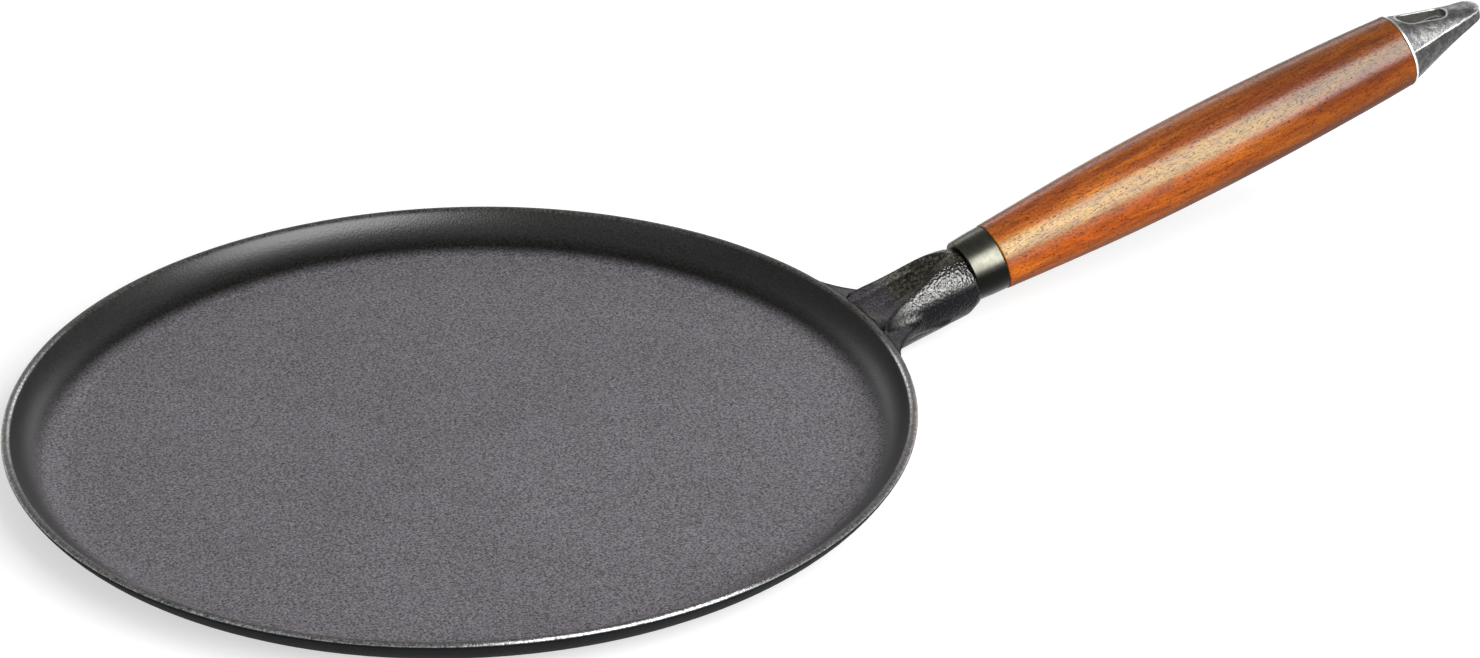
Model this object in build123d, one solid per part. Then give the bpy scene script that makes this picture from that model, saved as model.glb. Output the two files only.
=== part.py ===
from build123d import *
import os
from math import acos, asin, atan2, cos, hypot, radians, sin, sqrt

# A cast-iron crepe pan with a clamped wooden handle.
# The origin is the centre of the flat base, +Z is up and the handle runs out over +X.

# Pan disc and wall
pan_radius = 140.6
pan_height = 15.0
floor_thickness = 5.0
base_inset = 28.6
base_radius = pan_radius - base_inset
wall_curve_radius = 20.0
wall_thickness = 2.5
rim_round = 0.9

# Handle line: where the ferrule seats, outside the rim and above it, and the rise of the handle
seat_overhang = 33.9
seat_lift = 7.3
seat_reach = pan_radius + seat_overhang
seat_height = pan_height + seat_lift
handle_rise = 16.0

# Cast stub with its thumb scoop
stub_length = 62.0
stub_root_radius = 12.9
stub_end_radius = 10.7
stub_underside = 13.25
stub_nose_length = 7.4
stub_nose_radius = 11.1
stub_nose_mid_radius = 12.5
stub_ground_clearance = 1.0
rim_step = 0.6
web_half_width = 10.0
web_sweep = 33.0
root_fillet = 3.0
web_foot_height = 6.0
scoop_length = 44.0
scoop_half_width = 13.0
scoop_depth = 4.8
scoop_tip_inset = 2.8
socket_depth = 14.0

# Tie rod
rod_radius = 3.0
rod_end_gap = 0.8
rod_chamfer = 0.6
thread_clearance = 0.1

# Ferrule
ferrule_length = 11.2
ferrule_seat_radius = 10.3
ferrule_swell_radius = 10.8
ferrule_mouth_radius = 11.0
ferrule_wall = 1.6
ferrule_web = 2.6
ferrule_lip = 0.5

# Wooden grip
grip_length = 156.6
grip_radius = 14.4
grip_shoulder_radius = 11.25
grip_end_radius = 12.4
grip_edge_round = 0.5
bore_radius = 3.6
fit_clearance = 0.15

# End cap
cap_length = 33.0
cap_radius = 12.5
cap_land = 0.6
cap_chamfer = 0.6
cap_ridge_angle = 70.0
cap_tip_half_width = 4.3
cap_tip_half_thickness = 1.5
cap_tip_curve = 5.2
cap_tip_lift = 1.0
spigot_radius = 7.0
spigot_length = 9.5
cap_socket_wall = 1.6
slot_length = 17.4
slot_width = 7.0
slot_start = 3.2
slot_edge_round = 0.5

# One overrun serves every cut that has to pass a face
overrun = 2.0

# An edge is found by its place, to within this share of the size that it follows
match_share = 0.01

# Stub sections: place along the stub from its root, radius from the root's to the end's
stub_along_shares = (0.0, 0.52, 0.8, 0.89, 0.96, 1.0)
stub_taper_shares = (0.0, 0.32, 0.53, 0.6, 0.8, 1.0)

# Web sections from its foot to its top: height, sweep, half-width, depth sunk in the wall
web_section_shares = (
    (0.0, 0.3, 0.87, 0.45),
    (0.476, 0.68, 0.96, 0.45),
    (0.833, 0.98, 1.0, 0.4),
    (1.0, 1.0, 0.96, 1.0),
)

# Scoop sections from the pan to the tip: place, ridge half-width, ridge height, depth below the ridge
scoop_section_shares = (
    (0.0, 1.25, 0.42, 0.06),
    (0.2, 1.0, 0.21, 0.06),
    (0.29, 0.91, 0.17, 0.06),
    (0.39, 0.785, 0.41, 0.8),
    (0.52, 0.67, 0.54, 0.92),
    (0.65, 0.575, 0.6, 0.87),
    (0.78, 0.46, 0.69, 0.77),
    (0.9, 0.28, 0.785, 0.52),
    (1.0, 0.05, 0.84, 0.12),
)

# Grip outline between its shoulder and its end: place along the grip, share of the largest radius
grip_outline_shares = (
    (0.09, 0.842),
    (0.185, 0.903),
    (0.29, 0.957),
    (0.43, 0.992),
    (0.557, 1.0),
    (0.68, 0.985),
    (0.81, 0.948),
    (0.915, 0.908),
)


def handle_line():
    # Local Z runs out along the handle from the ferrule's seat, local X is +Y and local Y is up
    rise = radians(handle_rise)
    return Plane(
        origin=(seat_reach, 0, seat_height),
        x_dir=(0, 1, 0),
        z_dir=(cos(rise), 0, sin(rise)),
    )


def on_handle(solid):
    return solid.moved(handle_line().location)


def turned(outline):
    # An outline drawn with its radius along X and its length along Z, turned about Z.
    # Its seam ends up on the side away from the handle.
    return Rot(0, 0, 180) * revolve(make_face(outline), Axis.Z)


def wall_centre():
    # The wall's inner and outer curves share one centre, and the outer one meets the rim's outer edge
    outer = wall_curve_radius + wall_thickness
    drop = wall_curve_radius - (pan_height - floor_thickness)
    return pan_radius - sqrt(outer**2 - drop**2), floor_thickness + wall_curve_radius


def wall_arc(curve_radius, start, end):
    # Angles are measured from straight down, towards the rim
    radius, height = wall_centre()
    middle = (start + end) / 2

    def on_arc(angle):
        return (radius + curve_radius * sin(angle), 0, height - curve_radius * cos(angle))

    return ThreePointArc(on_arc(start), on_arc(middle), on_arc(end))


def rim_angle(curve_radius):
    return acos((wall_centre()[1] - pan_height) / curve_radius)


def wall_reach(height):
    # The radius of the wall's outer face at a height
    radius, middle = wall_centre()
    return radius + sqrt((wall_curve_radius + wall_thickness) ** 2 - (middle - height) ** 2)


def pan_disc():
    outer = wall_curve_radius + wall_thickness
    radius, height = wall_centre()
    # The underside runs from the flat base's edge as a tangent into the wall's outer curve
    reach = hypot(radius - base_radius, height)
    start = atan2(height, radius - base_radius) - asin(outer / reach)
    outside = wall_arc(outer, start, rim_angle(outer))
    inside = wall_arc(wall_curve_radius, rim_angle(wall_curve_radius), 0)
    outline = [
        Line((0, 0, 0), (base_radius, 0, 0)),
        Line((base_radius, 0, 0), outside @ 0),
        outside,
        Line(outside @ 1, inside @ 0),
        inside,
        Line(inside @ 1, (0, 0, floor_thickness)),
        Line((0, 0, floor_thickness), (0, 0, 0)),
    ]
    disc = turned(outline)
    top = disc.edges().filter_by(GeomType.CIRCLE).group_by(Axis.Z)[-1]
    return fillet(top, rim_round)


def stub_clearance():
    # What the stub keeps out of: the dish up to the middle of the wall, and the rim's rounded edge
    middle = wall_curve_radius + wall_thickness / 2
    radius, height = wall_centre()
    shelf = pan_height - rim_round / 2
    edge = pan_radius - rim_step
    top = pan_height + pan_radius
    last = acos((height - shelf) / middle)
    points = [(0, 0, height - middle)]
    for angle in (0, last / 2, last):
        points.append((radius + middle * sin(angle), 0, height - middle * cos(angle)))
    points += [(edge, 0, shelf), (edge, 0, top), (0, 0, top), points[0]]
    return turned(Polyline(points))


def web_plan(radius, half_width, sweep, height):
    # Seen from above, a hollow curve on each side leads from the rim's circle to the stub
    across = half_width + sweep
    along = sqrt((radius + sweep) ** 2 - across**2)
    share = radius / (radius + sweep)
    # The middle of each curve lies towards the corner between the wall and the stub
    towards = Vector((share - 1) * along, (share - 1) * across - sweep).normalized() * sweep

    def curve(side):
        return ThreePointArc(
            (share * along, side * share * across, height),
            (along + towards.X, side * (across + towards.Y), height),
            (along, side * half_width, height),
        )

    left = curve(1)
    right = curve(-1)
    inner = radius - 2 * sweep
    back = Polyline(left @ 0, (inner, (left @ 0).Y, height), (inner, (right @ 0).Y, height), right @ 0)
    return make_face([back, left, Line(left @ 1, right @ 1), right])


def rim_web():
    # It spreads the stub into the wall in a wide hollow sweep, and fades out below the rim
    rise = pan_height - rim_step - web_foot_height
    sections = []
    for up, sweep, width, sunk in web_section_shares:
        height = web_foot_height + rise * up
        radius = wall_reach(height) - rim_round * sunk
        sections.append(web_plan(radius, web_half_width * width, web_sweep * sweep, height))
    return loft(sections)


def stub_body():
    # Circles whose lowest points lie on one straight underside, with their seam at the top
    sections = []
    for along, taper in zip(stub_along_shares, stub_taper_shares):
        radius = stub_root_radius + (stub_end_radius - stub_root_radius) * taper
        place = stub_length * (along - 1)
        circle = Pos(0, radius - stub_underside) * Rot(0, 0, 90) * Circle(radius)
        sections.append(Plane.XY.offset(place) * circle)
    return on_handle(loft(sections) - nose_trim())


def nose_trim():
    # The underside rounds up to the ferrule over the last of the stub
    start = -stub_nose_length
    wide = 2 * stub_underside
    curve = ThreePointArc(
        (stub_underside + rim_step / 2, 0, start),
        (stub_nose_mid_radius, 0, start / 2),
        (stub_nose_radius, 0, 0),
    )
    sides = Polyline(
        (stub_nose_radius, 0, 0),
        (stub_nose_radius, 0, overrun),
        (wide, 0, overrun),
        (wide, 0, start),
        (stub_underside + rim_step / 2, 0, start),
    )
    return turned([curve, sides])


def scoop_section(along, width, height, depth):
    # A trough: a half ellipse below the ridge line and straight sides up past the stub
    place = -scoop_tip_inset - scoop_length * (1 - along)
    half = scoop_half_width * width
    ridge = scoop_half_width * height
    low = ridge - scoop_depth * depth
    top = stub_underside + overrun
    bowl = Spline(
        (-half, ridge),
        (-half * sqrt(0.5), ridge - (ridge - low) * sqrt(0.5)),
        (0, low),
        (half * sqrt(0.5), ridge - (ridge - low) * sqrt(0.5)),
        (half, ridge),
        tangents=((0, -1), (0, 1)),
    )
    sides = Polyline((half, ridge), (half, top), (-half, top), (-half, ridge))
    return Plane.XY.offset(place) * make_face([bowl, sides])


def thumb_scoop():
    return on_handle(loft([scoop_section(*row) for row in scoop_section_shares]))


def root_corners(stub):
    # Where the web's flat top meets the two flanks of the stub
    top = pan_height - rim_step
    corners = []
    for edge in stub.edges():
        ends = [edge @ 0, edge @ 0.5, edge @ 1]
        level = max(abs(point.Z - top) for point in ends) < rim_step * match_share
        reach = max(point.X for point in ends) - min(point.X for point in ends)
        aside = max(abs(point.Y) for point in ends)
        if level and reach > stub_root_radius and aside < stub_root_radius + root_fillet:
            corners.append(edge)
    return corners


def handle_stub():
    side = 2 * pan_radius
    ground = Pos(0, 0, stub_ground_clearance - side / 2) * Box(2 * side, side, side)
    stub = stub_body() + rim_web()
    stub = fillet(root_corners(stub), root_fillet)
    return stub - stub_clearance() - ground - thumb_scoop()


def rod_socket():
    depth = socket_depth + overrun
    hole = Pos(0, 0, overrun - depth / 2) * Cylinder(rod_radius + thread_clearance, depth)
    return on_handle(hole)


def pan_casting():
    # The stub stops inside the wall, so the dish keeps its own clean inner face
    return pan_disc() + handle_stub() - rod_socket()


def handle_ferrule():
    hole = bore_radius
    bore = ferrule_mouth_radius - ferrule_wall
    middle = (ferrule_swell_radius, 0, ferrule_length / 2)
    outside = ThreePointArc(
        (ferrule_seat_radius, 0, 0), middle, (ferrule_mouth_radius, 0, ferrule_length)
    )
    inside = Polyline(
        (ferrule_mouth_radius, 0, ferrule_length),
        (bore, 0, ferrule_length),
        (bore, 0, ferrule_web),
        (hole, 0, ferrule_web),
        (hole, 0, 0),
        (ferrule_seat_radius, 0, 0),
    )
    sleeve = turned([outside, inside])
    rims = sleeve.edges().filter_by(GeomType.CIRCLE)
    outer = [edge for edge in rims if edge.radius > bore + ferrule_wall / 4]
    return on_handle(fillet(outer, ferrule_lip))


def grip_outline():
    # The swell of the grip from the ferrule's mouth to the cap
    points = [(grip_shoulder_radius, 0, ferrule_length)]
    for along, share in grip_outline_shares:
        points.append((grip_radius * share, 0, ferrule_length + grip_length * along))
    points.append((grip_end_radius, 0, ferrule_length + grip_length))
    return Spline(points)


def wood_grip():
    swell = grip_outline()
    tenon = ferrule_mouth_radius - ferrule_wall - fit_clearance
    start = ferrule_web + fit_clearance
    end = ferrule_length + grip_length
    recess = spigot_radius + fit_clearance
    recess_floor = end - spigot_length - fit_clearance
    inside = Polyline(
        swell @ 1,
        (recess, 0, end),
        (recess, 0, recess_floor),
        (bore_radius, 0, recess_floor),
        (bore_radius, 0, start),
        (tenon, 0, start),
        (tenon, 0, ferrule_length),
        swell @ 0,
    )
    grip = turned([swell, inside])
    ends = [edge for edge in grip.edges().filter_by(GeomType.CIRCLE) if edge.radius > tenon]
    return on_handle(fillet(ends, grip_edge_round))


def ring_point(angle, radius, height):
    turn = radians(angle)
    return (radius * sin(turn), radius * cos(turn), height)


def cap_ring(radius, height):
    # A circle in four arcs whose ends are where the cap's ridges start
    ridge = cap_ridge_angle
    turns = (-ridge, ridge, 180 - ridge, 180 + ridge, 360 - ridge)
    arcs = []
    for start, end in zip(turns, turns[1:]):
        arcs.append(
            ThreePointArc(
                ring_point(start, radius, height),
                ring_point((start + end) / 2, radius, height),
                ring_point(end, radius, height),
            )
        )
    return make_face(arcs)


def cap_tip(height):
    wide = cap_tip_half_width
    thick = cap_tip_half_thickness
    top = cap_tip_lift + thick
    low = cap_tip_lift - thick
    corners = ((-wide, top), (wide, top), (wide, low), (-wide, low), (-wide, top))
    sides = [Line((*a, height), (*b, height)) for a, b in zip(corners, corners[1:])]
    return make_face(sides)


def cap_plan(base, end):
    # Seen from above the cap ends in a round nose
    nose = Pos(0, end - cap_tip_curve) * Circle(cap_tip_curve)
    length = end - cap_tip_curve - base
    wide = 2 * (cap_radius + overrun)
    body = Pos(0, base + length / 2) * Rectangle(wide, length)
    return body + nose


def seen_from_above(sketch, height):
    # Stands a plan drawn in X and Y up along the handle and gives it height both ways
    return Rot(90, 0, 0) * extrude(sketch, height, both=True)


def slot_rims(cap, start):
    # The curved edges where the slot meets the cap's two faces
    rims = []
    for edge in cap.edges():
        middle = edge @ 0.5
        along = (middle.Z - start) / slot_length
        across = abs(middle.X) / (slot_width / 2)
        inside = max(across, along) < 1 + match_share and along > -match_share
        if inside and edge.geom_type != GeomType.LINE:
            rims.append(edge)
    return rims


def end_cap():
    base = ferrule_length + grip_length
    end = base + cap_length
    land = Pos(0, 0, base + cap_land / 2) * Cylinder(cap_radius, cap_land)
    shoulder = base + cap_land + cap_chamfer
    ring = cap_ring(cap_radius, base + cap_land)
    neck = cap_ring(cap_radius - cap_chamfer, shoulder)
    beak = loft([neck, cap_tip(end)], ruled=True)
    beak = beak & seen_from_above(cap_plan(shoulder - overrun, end), cap_radius)
    slot = Pos(0, base + slot_start + slot_length / 2) * Rot(0, 0, 90) * SlotOverall(
        slot_length, slot_width
    )
    spigot = Pos(0, 0, base - spigot_length / 2) * Cylinder(spigot_radius, spigot_length)
    socket_length = spigot_length + slot_start - cap_socket_wall
    socket = Pos(0, 0, base - spigot_length + socket_length / 2) * Cylinder(
        rod_radius + thread_clearance, socket_length
    )
    cap = land + loft([ring, neck], ruled=True) + beak + spigot
    cap = cap - seen_from_above(slot, cap_radius + overrun) - socket
    return on_handle(fillet(slot_rims(cap, base + slot_start), slot_edge_round))


def tie_rod():
    base = ferrule_length + grip_length
    start = rod_end_gap - socket_depth
    end = base + slot_start - cap_socket_wall - rod_end_gap
    rod = Pos(0, 0, (start + end) / 2) * Cylinder(rod_radius, end - start)
    return on_handle(chamfer(rod.edges(), rod_chamfer))


pieces = {
    "pan_casting": pan_casting,
    "handle_ferrule": handle_ferrule,
    "wood_grip": wood_grip,
    "end_cap": end_cap,
    "tie_rod": tie_rod,
}

os.makedirs("parts", exist_ok=True)
for name, make in pieces.items():
    piece = make()
    solids = piece.solids()
    piece.label = name
    print(name, "solids", len(solids), "volume", round(piece.volume), "valid", piece.is_valid)
    export_step(piece, f"parts/{name}.step")
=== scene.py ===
import bpy
import math
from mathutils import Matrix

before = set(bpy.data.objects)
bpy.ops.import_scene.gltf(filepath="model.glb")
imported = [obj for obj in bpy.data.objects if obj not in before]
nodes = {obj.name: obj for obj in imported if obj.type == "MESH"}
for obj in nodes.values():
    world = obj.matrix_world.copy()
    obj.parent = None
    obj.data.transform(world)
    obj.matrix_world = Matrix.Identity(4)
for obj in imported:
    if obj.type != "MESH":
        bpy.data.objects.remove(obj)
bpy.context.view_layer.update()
scene = bpy.context.scene
handleRise = math.radians(16)  # the handle climbs from the pan at this angle
handleTurn = (0, handleRise, 0)  # turns a pattern so that its first axis runs along the handle


# small helpers for building materials

def newMaterial(name):
    material = bpy.data.materials.new(name)
    material.use_nodes = True
    tree = material.node_tree
    return material, tree, tree.nodes["Principled BSDF"]


def addNode(tree, kind, settings=None, inputs=None):
    node = tree.nodes.new(kind)
    for key, value in (settings or {}).items():
        setattr(node, key, value)
    for key, value in (inputs or {}).items():
        if isinstance(value, bpy.types.NodeSocket):
            tree.links.new(value, node.inputs[key])
        else:
            node.inputs[key].default_value = value
    return node


def objectPlace(tree, turn=(0, 0, 0), stretch=(1, 1, 1)):
    # a pattern is turned first and stretched along its own axes afterwards
    coord = addNode(tree, "ShaderNodeTexCoord")
    mapping = addNode(tree, "ShaderNodeMapping", inputs={
        "Vector": coord.outputs["Object"], "Rotation": turn})
    if stretch == (1, 1, 1):
        return mapping.outputs["Vector"]
    return addNode(tree, "ShaderNodeMapping", inputs={
        "Vector": mapping.outputs["Vector"], "Scale": stretch}).outputs["Vector"]


def split(tree, vector):
    return addNode(tree, "ShaderNodeSeparateXYZ", inputs={0: vector}).outputs


def faceUp(tree):
    # 1 on a surface that faces up, 0 on an upright one, -1 on one that faces down
    return split(tree, addNode(tree, "ShaderNodeNewGeometry").outputs["Normal"])[2]


def noise(tree, place, scale, detail, roughness):
    return addNode(tree, "ShaderNodeTexNoise", inputs={
        "Vector": place, "Scale": scale, "Detail": detail, "Roughness": roughness}).outputs["Fac"]


def alongGrain(tree, stretch, detail, roughness):
    # a noise that is stretched along the handle
    return noise(tree, objectPlace(tree, handleTurn, stretch), 1.0, detail, roughness)


def maths(tree, operation, first, second=0.0):
    return addNode(tree, "ShaderNodeMath", {"operation": operation}, {0: first, 1: second}).outputs[0]


def add(tree, first, second):
    return maths(tree, "ADD", first, second)


def subtract(tree, first, second):
    return maths(tree, "SUBTRACT", first, second)


def larger(tree, first, second=0.0):
    return maths(tree, "MAXIMUM", first, second)


def absolute(tree, value):
    return maths(tree, "ABSOLUTE", value)


def product(tree, *values):
    result = values[0]
    for value in values[1:]:
        result = maths(tree, "MULTIPLY", result, value)
    return result


def inverse(tree, value):
    return subtract(tree, 1.0, value)


def distance(tree, first, second):
    return maths(tree, "SQRT", add(tree, product(tree, first, first), product(tree, second, second)))


def remap(tree, value, low, high, lowOut=0.0, highOut=1.0, smooth=True):
    kind = "SMOOTHSTEP" if smooth else "LINEAR"
    return addNode(tree, "ShaderNodeMapRange", {"interpolation_type": kind}, {
        "Value": value, "From Min": low, "From Max": high,
        "To Min": lowOut, "To Max": highOut}).outputs["Result"]


# nearly all of a noise lies between these
noiseLow = 0.3
noiseHigh = 0.7


def vary(tree, pattern, lowOut, highOut):
    return remap(tree, pattern, noiseLow, noiseHigh, lowOut, highOut, smooth=False)


def blendValue(tree, factor, first, second):
    return addNode(tree, "ShaderNodeMix", {"data_type": "FLOAT"}, {
        "Factor": factor, "A": first, "B": second}).outputs["Result"]


def blendColor(tree, factor, first, second, mode="MIX"):
    node = addNode(tree, "ShaderNodeMix", {"data_type": "RGBA", "blend_type": mode})
    for socket, value in ((node.inputs[0], factor), (node.inputs[6], first), (node.inputs[7], second)):
        if isinstance(value, bpy.types.NodeSocket):
            tree.links.new(value, socket)
        elif socket.type == "RGBA":
            socket.default_value = (*value, 1)
        else:
            socket.default_value = value
    return node.outputs[2]


def toned(tree, color, tone):
    grey = addNode(tree, "ShaderNodeCombineColor", inputs={0: tone, 1: tone, 2: tone}).outputs[0]
    return blendColor(tree, 1.0, color, grey, "MULTIPLY")


def bump(tree, height, depth, strength=1.0, normal=None):
    inputs = {"Height": height, "Distance": depth, "Strength": strength}
    if normal is not None:
        inputs["Normal"] = normal
    return addNode(tree, "ShaderNodeBump", inputs=inputs).outputs["Normal"]


def addGloss(tree, shader, weight, v):
    tree.links.new(weight, shader.inputs["Coat Weight"])
    shader.inputs["Coat IOR"].default_value = v["glossIndex"]
    shader.inputs["Coat Roughness"].default_value = v["glossRoughness"]


# the enamelled casting: matte on the floor and the outside, with a sheen on the wall and round the stub

enamel = {
    "floorColor": (0.146, 0.136, 0.15),
    # painted shade: the wall is drawn far darker than the floor, standing in for the shade on the curved
    # wall
    "wallShadeColor": (0.011, 0.0112, 0.0105),
    "rimColor": (0.55, 0.55, 0.56),
    "landColor": (0.055, 0.052, 0.048),
    "flankColor": (0.075, 0.074, 0.07),
    "outsideColor": (0.0035, 0.004, 0.0055),
    "scoopColor": (0.085, 0.078, 0.058),
    "scoopSheen": 0.75,
    "shelfColor": (0.062, 0.056, 0.064),
    "shelfEdgeColor": (0.036, 0.035, 0.036),
    "specular": 0.12,
    "floorRoughness": 0.6,
    "wallRoughness": 0.36,
    "rimRoughness": 0.16,
    "outsideRoughness": 0.75,
    "flankRoughness": 0.22,
    "scoopRoughness": 0.36,
    "shelfRoughness": 0.6,
    "roughnessSpread": (-0.02, 0.04),
    "glossIndex": 1.8,        # the clear gloss over the matte enamel, by zone
    "glossRoughness": 0.34,
    "wallGloss": 0.7,
    "floorGloss": 0.05,
    "rimGloss": 0.15,
    "flankGloss": 0.5,
    "topGloss": 0.35,
    "edgeRound": 0.002,       # how far the scoop's and the shelf's edges are softened
    "edgeSamples": 6,
    "grainDepth": 0.00007,
    "grainOnLand": 0.25,      # the grain is weaker on the ground top of the rim
    "pebbleScale": 1150.0,
    "pebbleDepth": 0.00032,
    "pebbleSmoothness": 0.7,
    "pebbleOnWall": 0.1,      # the outside of the wall is smoother than the stub
    "grainNoise": (1450.0, 2.0, 0.6),   # scale, detail and roughness of each pattern
    "speckNoise": (1000.0, 2.0, 0.6),
    "patchNoise": (60.0, 3.0, 0.55),
    "broadNoise": (14.0, 2.0, 0.5),
    "fineTone": (0.2, 1.8),   # darkest and palest tone of each pattern
    "speckTone": (0.82, 1.18),
    "patchTone": (0.96, 1.04),
    "broadTone": (0.95, 1.05),
    "scoopSpecks": (0.42, 0.62, 0.4, 2.0),
}

# where the zones of the enamel begin and end: places in metres, and tilts as a part of the surface's normal
zones = {
    "blend": 0.0006,          # half the width of the change from one zone to the next
    "curveRadius": 0.12044,   # the wall's curve is centred on this circle
    "curveHeight": 0.025,
    "curveMiddle": 0.02125,   # distance from that circle to the middle of the wall
    "rimRadius": 0.1406,
    "rimTop": 0.015,
    "acrossX": 0.37,          # the direction from the near side of the pan to the far side
    "acrossY": 0.93,
    "farShadeShift": (-0.06, 0.11, 0.0, 0.006),   # the matte floor climbs less at the far side, so the painted shade of the wall begins lower there
    "matteAndShadeEdge": (0.0134, 0.0068),
    "landFoot": (0.0009, 0.0003),   # below the top of the rim
    "landCap": (0.0003, 0.0001),    # above it
    "crestTilt": (0.97, 0.88),      # only the rounded edge of the rim catches the light
    "crestEnd": (0.138, 0.134),
    "crestFar": (0.07, 0.02),
    "stubRun": 0.012,               # the stub's own surface is reached this far past the rim
    "flankTilt": (0.16, 0.5),
    "underTilt": (0.35, 0.1),
    "shelfEnd": 0.1495,             # where the shelf gives way to the thumb scoop
    "scoopBefore": 0.003,
    "scoopAfter": 0.005,
    "shelfHalfWidth": 0.0145,
    "shelfEdgeRun": 0.008,
    "shineTilt": (0.22, 0.5),
    "shineFoot": -0.0275,           # the flank's sheen ends at this height in the handle's own frame
    "shineRun": 0.002,
    "wallGlossTilt": (0.93, 0.8),
}


def enamelZones(tree, place, soft):
    v = zones
    x, y, z = split(tree, place)
    normalY, normalZ = split(tree, soft)[1:3]
    radius = distance(tree, x, y)
    # the wall's section is part of a circle, so the distance from its middle tells inside from outside
    out = larger(tree, subtract(tree, radius, v["curveRadius"]))
    curve = distance(tree, out, subtract(tree, v["curveHeight"], z))
    inside = remap(tree, curve, v["curveMiddle"] + v["blend"], v["curveMiddle"] - v["blend"])
    # the matte floor runs up the wall, further at the near side than at the far one; above it the wall's
    # dark colour is painted shade
    far = add(tree, product(tree, x, v["acrossX"]), product(tree, y, v["acrossY"]))
    climb = add(tree, out, remap(tree, far, *v["farShadeShift"]))
    floor = product(tree, inside, remap(tree, climb, *v["matteAndShadeEdge"]))
    # the land is the flat top of the rim, and the crest its edge
    land = remap(tree, z, *(v["rimTop"] - drop for drop in v["landFoot"]))
    land = product(tree, land, remap(tree, radius, v["rimRadius"] + v["blend"], v["rimRadius"]))
    land = product(tree, land, remap(tree, z, *(v["rimTop"] + rise for rise in v["landCap"])))
    crest = product(tree, land, remap(tree, normalZ, *v["crestTilt"]), remap(tree, x, *v["crestEnd"]))
    crest = product(tree, crest, remap(tree, far, *v["crestFar"]))

    # the stub's shelf and scoop face up, its flanks face away from the middle
    onStub = remap(tree, radius, v["rimRadius"], v["rimRadius"] + v["stubRun"])
    side = product(tree, maths(tree, "SIGN", y), normalY)
    flank = larger(tree, remap(tree, side, *v["flankTilt"]), remap(tree, normalZ, *v["underTilt"]))
    stub = remap(tree, radius, v["rimRadius"] - v["blend"], v["rimRadius"] + v["blend"])
    top = product(tree, stub, inverse(tree, flank))
    scoop = remap(tree, x, v["shelfEnd"] - v["scoopBefore"], v["shelfEnd"] + v["scoopAfter"])
    shelfEdge = remap(tree, absolute(tree, y), v["shelfHalfWidth"], v["shelfHalfWidth"] + v["shelfEdgeRun"])
    outside = product(tree, inverse(tree, inside), inverse(tree, top), inverse(tree, land))
    height = split(tree, objectPlace(tree, handleTurn))[2]
    upward = product(tree, remap(tree, normalZ, *v["shineTilt"]),
                     remap(tree, height, v["shineFoot"], v["shineFoot"] + v["shineRun"]))
    return {
        "inside": inside, "floor": floor, "land": land, "crest": crest, "onStub": onStub, "top": top,
        "scoop": scoop, "shelfEdge": shelfEdge, "outside": outside, "upward": upward,
        "shine": product(tree, outside, onStub, upward),
        "wall": remap(tree, normalZ, *v["wallGlossTilt"]),
    }


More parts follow.
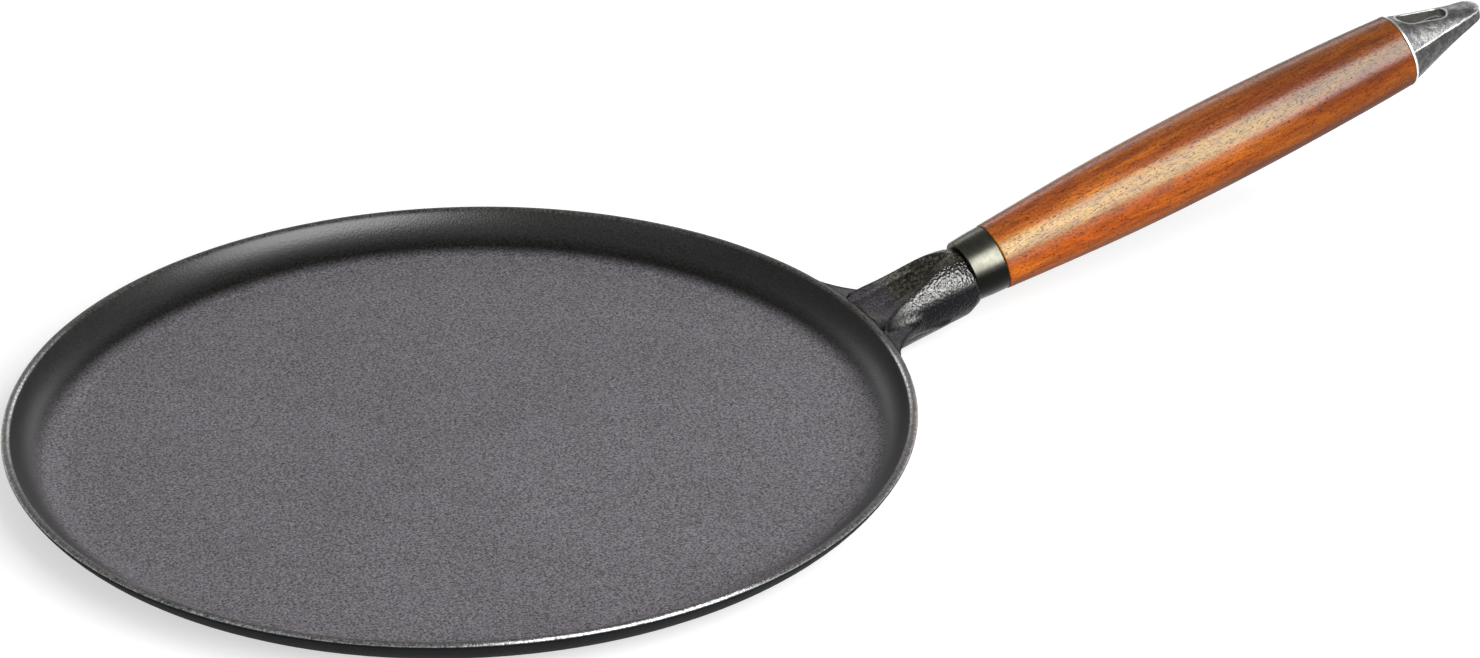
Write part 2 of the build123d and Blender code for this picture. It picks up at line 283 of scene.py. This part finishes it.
def enamelMaterial():
    v = enamel
    material, tree, shader = newMaterial("enamelledIron")
    place = objectPlace(tree)
    soft = addNode(tree, "ShaderNodeBevel", {"samples": v["edgeSamples"]},
                   {"Radius": v["edgeRound"]}).outputs["Normal"]
    zone = enamelZones(tree, place, soft)
    onScoop = product(tree, zone["top"], zone["scoop"])
    fine = noise(tree, place, *v["grainNoise"])
    speck = noise(tree, place, *v["speckNoise"])
    patch = noise(tree, place, *v["patchNoise"])
    broad = noise(tree, place, *v["broadNoise"])

    # painted shade: the inside takes the dark wall colour, and the floor colour is laid over it below
    color = blendColor(tree, zone["inside"], v["outsideColor"], v["wallShadeColor"])
    color = blendColor(tree, zone["floor"], color, v["floorColor"])
    shelfColor = blendColor(tree, zone["shelfEdge"], v["shelfColor"], v["shelfEdgeColor"])
    topColor = blendColor(tree, zone["scoop"], shelfColor, v["scoopColor"])
    color = blendColor(tree, zone["top"], color, topColor)
    color = blendColor(tree, zone["shine"], color, v["flankColor"])
    landColor = blendColor(tree, zone["crest"], v["landColor"], v["rimColor"])
    color = blendColor(tree, zone["land"], color, landColor)
    speckTone = blendValue(tree, onScoop, vary(tree, speck, *v["speckTone"]),
                           remap(tree, speck, *v["scoopSpecks"]))
    tone = product(tree, vary(tree, fine, *v["fineTone"]), speckTone,
                   vary(tree, patch, *v["patchTone"]), vary(tree, broad, *v["broadTone"]))
    tree.links.new(toned(tree, color, tone), shader.inputs["Base Color"])
    sheen = larger(tree, zone["shine"], product(tree, onScoop, v["scoopSheen"]))
    tree.links.new(larger(tree, sheen, zone["crest"]), shader.inputs["Metallic"])
    shader.inputs["Specular IOR Level"].default_value = v["specular"]

    outsideRough = blendValue(tree, zone["onStub"], v["outsideRoughness"], v["flankRoughness"])
    rough = blendValue(tree, zone["inside"], outsideRough, v["wallRoughness"])
    rough = blendValue(tree, zone["floor"], rough, v["floorRoughness"])
    topRough = blendValue(tree, zone["scoop"], v["shelfRoughness"], v["scoopRoughness"])
    rough = blendValue(tree, zone["top"], rough, topRough)
    rough = blendValue(tree, zone["land"], rough, v["rimRoughness"])
    rough = add(tree, rough, vary(tree, patch, *v["roughnessSpread"]))
    tree.links.new(rough, shader.inputs["Roughness"])

    flankGloss = product(tree, zone["onStub"], zone["upward"], v["flankGloss"])
    wallGloss = product(tree, zone["wall"], v["wallGloss"])
    gloss = blendValue(tree, zone["inside"], flankGloss, wallGloss)
    for name, amount in (("floor", "floorGloss"), ("top", "topGloss"), ("land", "rimGloss")):
        gloss = blendValue(tree, zone[name], gloss, v[amount])
    addGloss(tree, shader, gloss, v)

    pebble = addNode(tree, "ShaderNodeTexVoronoi", {"feature": "SMOOTH_F1"}, {
        "Vector": place, "Scale": v["pebbleScale"],
        "Smoothness": v["pebbleSmoothness"], "Randomness": 1.0}).outputs["Distance"]
    pebbled = product(tree, zone["outside"], blendValue(tree, zone["onStub"], v["pebbleOnWall"], 1.0))
    pebbles = bump(tree, pebble, v["pebbleDepth"], pebbled, soft)
    grainStrength = blendValue(tree, zone["land"], 1.0, v["grainOnLand"])
    grain = bump(tree, fine, v["grainDepth"], grainStrength, pebbles)
    tree.links.new(grain, shader.inputs["Normal"])
    tree.links.new(grain, shader.inputs["Coat Normal"])
    return material


# the ferrule: dark satin steel

ferrule = {
    "color": (0.118, 0.117, 0.094),
    "underShadeColor": (0.012, 0.012, 0.011),   # painted shade: the lower side is darker
    "underTilt": (0.12, 0.45),
    "paleColor": (0.17, 0.167, 0.137),
    "cloudNoise": (240.0, 4.0, 0.6),
    "cloudBlend": (0.35, 0.7),
    "lineNoise": ((5200, 160, 160), 3.0, 0.6),   # scale along and across the handle, detail, roughness
    "roughness": 0.3,
    "roughnessSpread": (-0.05, 0.08),
    "brushDepth": 0.00001,
}


def ferruleMaterial():
    v = ferrule
    material, tree, shader = newMaterial("ferruleSteel")
    lines = alongGrain(tree, *v["lineNoise"])
    cloud = noise(tree, objectPlace(tree), *v["cloudNoise"])
    color = blendColor(tree, remap(tree, cloud, *v["cloudBlend"]), v["color"], v["paleColor"])
    # painted shade: darker where the surface faces down
    color = blendColor(tree, remap(tree, faceUp(tree), *v["underTilt"]), v["underShadeColor"], color)
    tree.links.new(color, shader.inputs["Base Color"])
    shader.inputs["Metallic"].default_value = 1.0
    rough = add(tree, v["roughness"], vary(tree, lines, *v["roughnessSpread"]))
    tree.links.new(rough, shader.inputs["Roughness"])
    tree.links.new(bump(tree, lines, v["brushDepth"]), shader.inputs["Normal"])
    return material


# the wooden grip: stained wood under varnish

wood = {
    "darkColor": (0.15, 0.022, 0.004),
    "redColor": (0.3, 0.062, 0.006),
    "orangeColor": (0.5, 0.135, 0.01),
    "fleckColor": (0.04, 0.008, 0.003),
    "bandNoise": ((12, 130, 110), 4.0, 0.6),   # scale along and across the handle, detail, roughness
    "streakNoise": ((130, 1300, 1200), 3.0, 0.6),
    "poreNoise": ((1500, 4200, 4200), 2.0, 0.6),
    "fleckNoise": ((900, 2600, 2600), 2.0, 0.6),
    "mottleNoise": ((90, 420, 420), 3.0, 0.6),
    "bandBlend": (0.38, 0.62),
    "streakBlend": (0.45, 0.75, 0.0, 0.7),
    "fleckBlend": (0.51, 0.67, 0.0, 0.8),
    "poreBlend": (0.55, 0.7, 0.0, 0.6),
    "mottleTone": (0.78, 1.22),
    "lengthTone": (0.19, 0.335, 1.22, 0.55),   # paler at the ferrule than at the cap
    # painted shade: the underside is darker
    "underShadeTone": (-0.1, -0.75, 1.0, 0.36),
    # painted light: the upright sides are paler than the top
    "paintedSideShading": (0.35, 0.05, 1.0, 1.25),
    "paintedHighlightTint": (0.85, 1.7, 1.3),   # painted highlight: a paler, yellower tone in the band on the upper side where the lamp's stripe lies
    "paintedHighlightLow": (0.2, 0.38),
    "paintedHighlightHigh": (0.8, 0.6),
    "unevenTilt": (-0.05, 0.05),    # the streaks make the zones' edges uneven
    "varnishRise": (0.22, 0.34, 0.0, 0.2),   # the varnish begins higher up the side towards the cap
    "specular": 0.1,
    "roughness": 0.45,
    "roughnessSpread": (-0.05, 0.09),
    "gloss": 0.92,            # the varnish, thickest on the upper side
    "leastGloss": 0.02,
    "glossTilt": (0.02, 0.24),
    "fleckGloss": 0.35,       # the share of the gloss that is left on a fleck
    "glossIndex": 1.62,
    "glossRoughness": 0.27,
    "fleckDepth": 0.00005,
}


def woodMaterial():
    v = wood
    material, tree, shader = newMaterial("stainedWood")
    bands = alongGrain(tree, *v["bandNoise"])
    streaks = alongGrain(tree, *v["streakNoise"])
    pores = alongGrain(tree, *v["poreNoise"])
    flecks = alongGrain(tree, *v["fleckNoise"])
    mottle = alongGrain(tree, *v["mottleNoise"])
    along = split(tree, objectPlace(tree, handleTurn))[0]
    normalZ = faceUp(tree)
    uneven = add(tree, normalZ, vary(tree, streaks, *v["unevenTilt"]))
    height = subtract(tree, uneven, remap(tree, along, *v["varnishRise"]))
    fleck = larger(tree, remap(tree, flecks, *v["fleckBlend"]), remap(tree, pores, *v["poreBlend"]))

    color = blendColor(tree, remap(tree, bands, *v["bandBlend"]), v["redColor"], v["orangeColor"])
    color = blendColor(tree, remap(tree, streaks, *v["streakBlend"]), color, v["darkColor"])
    # painted highlight: the band on the upper side is tinted paler and yellower
    paintedHighlight = product(tree, remap(tree, height, *v["paintedHighlightLow"]), remap(tree, uneven, *v["paintedHighlightHigh"]))
    color = blendColor(tree, paintedHighlight, color, blendColor(tree, 1.0, color, v["paintedHighlightTint"], "MULTIPLY"))
    # the tone holds painted shade on the underside and painted light on the upright sides
    tone = product(tree, vary(tree, mottle, *v["mottleTone"]), remap(tree, along, *v["lengthTone"]),
                   remap(tree, normalZ, *v["underShadeTone"]), remap(tree, normalZ, *v["paintedSideShading"]))
    color = blendColor(tree, fleck, toned(tree, color, tone), v["fleckColor"])
    tree.links.new(color, shader.inputs["Base Color"])
    rough = add(tree, v["roughness"], vary(tree, mottle, *v["roughnessSpread"]))
    tree.links.new(rough, shader.inputs["Roughness"])
    shader.inputs["Specular IOR Level"].default_value = v["specular"]
    gloss = remap(tree, height, *v["glossTilt"], v["leastGloss"], v["gloss"])
    gloss = product(tree, gloss, remap(tree, fleck, 0, 1, 1.0, v["fleckGloss"]))
    addGloss(tree, shader, gloss, v)
    tree.links.new(bump(tree, inverse(tree, fleck), v["fleckDepth"]), shader.inputs["Normal"])
    return material


# the cast cap

cap = {
    "paleColor": (0.44, 0.44, 0.43),
    "midColor": (0.24, 0.24, 0.245),
    "darkColor": (0.08, 0.08, 0.084),
    # worn edges, partly a painted highlight
    "wornEdgeHighlightColor": (0.9, 0.9, 0.89),
    "slotColor": (0.34, 0.32, 0.29),
    "paintedSideShading": 0.3,          # painted shade: the sides below the ridges are darker than the top
    "sideBlend": 0.0005,
    "blotNoise": (420.0, 5.0, 0.62),
    "blotBlend": (0.4, 0.6),
    "fineNoise": (1500.0, 3.0, 0.6),
    "pitBlend": (0.52, 0.7, 0.0, 0.7),
    "pitDepth": 0.00028,
    "roughness": 0.34,
    "roughnessSpread": (-0.06, 0.14),
    "edgeRoughness": 0.4,
    "start": 0.3417,          # places along the handle and above its middle line
    "ringEnd": 0.3429,
    "ringBlend": (0.0001, -0.0002),
    "length": 0.033,
    "middle": -0.02667,
    "ridgeFoot": 0.00407,
    "ridgeTip": 0.0025,
    "ridgeLine": (0.0004, 0.0001),
    "ridgeWobble": (0.35, 0.65, -0.0002, 0.0002),
    "slotMiddle": 0.3536,
    "slotHalfRun": 0.0052,
    "slotRadius": 0.0035,
    "slotRimStart": (0.00005, 0.0002),   # distances from the edge of the slot
    "slotRimEnd": (0.0011, 0.0006),
    "slotShade": (0.0002, 0.00005, 0.0, 0.6),
    "edgeWearAndHighlight": (0.35, 0.5, 0.6, 1.0),
}


def capEdges(tree, blot, fine):
    # worn edges, drawn bright enough to also stand as a painted highlight: the ring at the wood, the two
    # upper ridges and the rim of the slot
    v = cap
    along, aside, up = split(tree, objectPlace(tree, handleTurn))
    ridge = remap(tree, along, v["ringEnd"], v["start"] + v["length"],
                  v["middle"] + v["ridgeFoot"], v["middle"] + v["ridgeTip"], smooth=False)
    above = subtract(tree, up, ridge)
    wobble = remap(tree, blot, *v["ridgeWobble"], smooth=False)
    ridgeLine = remap(tree, absolute(tree, add(tree, above, wobble)), *v["ridgeLine"])
    fromMiddle = absolute(tree, subtract(tree, along, v["slotMiddle"]))
    run = larger(tree, subtract(tree, fromMiddle, v["slotHalfRun"]))
    gap = subtract(tree, distance(tree, run, aside), v["slotRadius"])
    slotRim = product(tree, remap(tree, gap, *v["slotRimStart"]), remap(tree, gap, *v["slotRimEnd"]))
    ring = remap(tree, along, *(v["ringEnd"] + step for step in v["ringBlend"]))
    edge = larger(tree, ring, larger(tree, ridgeLine, slotRim))
    edge = product(tree, edge, remap(tree, fine, *v["edgeWearAndHighlight"]))
    return above, gap, edge


def capMaterial():
    v = cap
    material, tree, shader = newMaterial("castAluminium")
    place = objectPlace(tree)
    blot = noise(tree, place, *v["blotNoise"])
    fine = noise(tree, place, *v["fineNoise"])
    above, gap, edge = capEdges(tree, blot, fine)
    color = blendColor(tree, remap(tree, blot, *v["blotBlend"]), v["midColor"], v["paleColor"])
    color = blendColor(tree, remap(tree, fine, *v["pitBlend"]), color, v["darkColor"])
    # painted shade: darker on the sides below the ridges
    color = toned(tree, color, remap(tree, above, 0, -v["sideBlend"], 1.0, v["paintedSideShading"]))
    color = blendColor(tree, remap(tree, gap, *v["slotShade"]), color, v["slotColor"])
    # worn edges that also carry a painted highlight
    color = blendColor(tree, edge, color, v["wornEdgeHighlightColor"])
    tree.links.new(color, shader.inputs["Base Color"])
    shader.inputs["Metallic"].default_value = 1.0
    rough = add(tree, v["roughness"], vary(tree, fine, *v["roughnessSpread"]))
    tree.links.new(blendValue(tree, edge, rough, v["edgeRoughness"]), shader.inputs["Roughness"])
    tree.links.new(bump(tree, blot, v["pitDepth"]), shader.inputs["Normal"])
    return material


# the rod inside the grip

rod = {
    "darkColor": (0.35, 0.35, 0.36),
    "paleColor": (0.55, 0.55, 0.55),
    "lineNoise": ((300, 4000, 4000), 2.0, 0.5),
    "roughness": 0.35,
}


def rodMaterial():
    v = rod
    material, tree, shader = newMaterial("rodSteel")
    lines = alongGrain(tree, *v["lineNoise"])
    tree.links.new(blendColor(tree, lines, v["darkColor"], v["paleColor"]), shader.inputs["Base Color"])
    shader.inputs["Metallic"].default_value = 1.0
    shader.inputs["Roughness"].default_value = v["roughness"]
    return material


def dress(name, material):
    node = nodes[name]
    node.data.materials.clear()
    node.data.materials.append(material)
    print("dressed", name, len(node.data.polygons), "faces")


dress("pan_casting", enamelMaterial())
dress("handle_ferrule", ferruleMaterial())
dress("wood_grip", woodMaterial())
dress("end_cap", capMaterial())
dress("tie_rod", rodMaterial())


# the studio: a pale floor, a long key panel over the near side and three weak ones

studio = {
    "floorSize": 12,
    "floorColor": 0.58,
    "floorRoughness": 0.9,
    "floorGlow": 0.6,
    "floorDrop": 0.0002,      # keeps the floor clear of the base that stands on it
    "worldLight": 0.16,
    "lamps": (
        # name, place, aim, size, power
        ("keyPanel", (0.527, -1.17, 0.924), (0.2, 0, 0.04), (1.3, 1.5), 35.0),
        ("fillPanel", (-0.17, -1.42, 1.05), (0, 0, 0.015), (0.6, 0.5), 4.5),
        ("backPanel", (0.65, 1.5, 0.75), (0.12, 0, 0.02), (2.2, 0.5), 5.2),
        ("leftPanel", (-1.4, -0.3, 1.0), (0, 0, 0), (0.8, 0.8), 0.8),
    ),
}


def aimAt(thing, target):
    direction = thing.location.__class__(target) - thing.location
    thing.rotation_euler = direction.to_track_quat("-Z", "Y").to_euler()


def buildWorld():
    world = bpy.data.worlds.new("studioWorld")
    scene.world = world
    world.use_nodes = True
    background = world.node_tree.nodes["Background"]
    background.inputs["Color"].default_value = (1, 1, 1, 1)
    background.inputs["Strength"].default_value = studio["worldLight"]


def buildFloor():
    v = studio
    bpy.ops.object.select_all(action="DESELECT")
    bpy.ops.mesh.primitive_plane_add(size=v["floorSize"], location=(0, 0, -v["floorDrop"]))
    floor = bpy.context.object
    floor.name = "studioFloor"
    material, tree, shader = newMaterial("studioFloor")
    shader.inputs["Base Color"].default_value = (v["floorColor"],) * 3 + (1,)
    shader.inputs["Roughness"].default_value = v["floorRoughness"]
    shader.inputs["Specular IOR Level"].default_value = 0.0
    # the glow is seen, also in reflections and through glass, but sheds no soft light on the pan
    shader.inputs["Emission Color"].default_value = (1, 1, 1, 1)
    path = addNode(tree, "ShaderNodeLightPath")
    seen = larger(tree, path.outputs["Is Camera Ray"], path.outputs["Is Glossy Ray"])
    seen = larger(tree, seen, path.outputs["Is Transmission Ray"])
    tree.links.new(product(tree, seen, v["floorGlow"]), shader.inputs["Emission Strength"])
    floor.data.materials.append(material)


def buildLamps():
    for name, place, aim, extent, power in studio["lamps"]:
        lamp = bpy.data.lights.new(name, "AREA")
        lamp.shape = "RECTANGLE"
        lamp.size, lamp.size_y = extent
        lamp.energy = power
        holder = bpy.data.objects.new(name, lamp)
        scene.collection.objects.link(holder)
        holder.location = place
        aimAt(holder, aim)


buildWorld()
buildFloor()
buildLamps()
print("studio ready")


# the camera stands where the photographer's did

view = {
    "place": (-0.4352, -1.0936, 0.6542),
    "turn": (62.434, 0, -25.86),
    "lens": 105.94,
    "sensor": 36,
    "nearest": 0.05,
    "furthest": 50,
}


def placeCamera():
    lens = bpy.data.cameras.new("photoCamera")
    lens.lens = view["lens"]
    lens.sensor_width = view["sensor"]
    lens.clip_start = view["nearest"]
    lens.clip_end = view["furthest"]
    camera = bpy.data.objects.new("photoCamera", lens)
    scene.collection.objects.link(camera)
    camera.location = view["place"]
    camera.rotation_euler = [math.radians(angle) for angle in view["turn"]]
    scene.camera = camera
    print("camera placed")


placeCamera()
scene.view_settings.view_transform = "Standard"
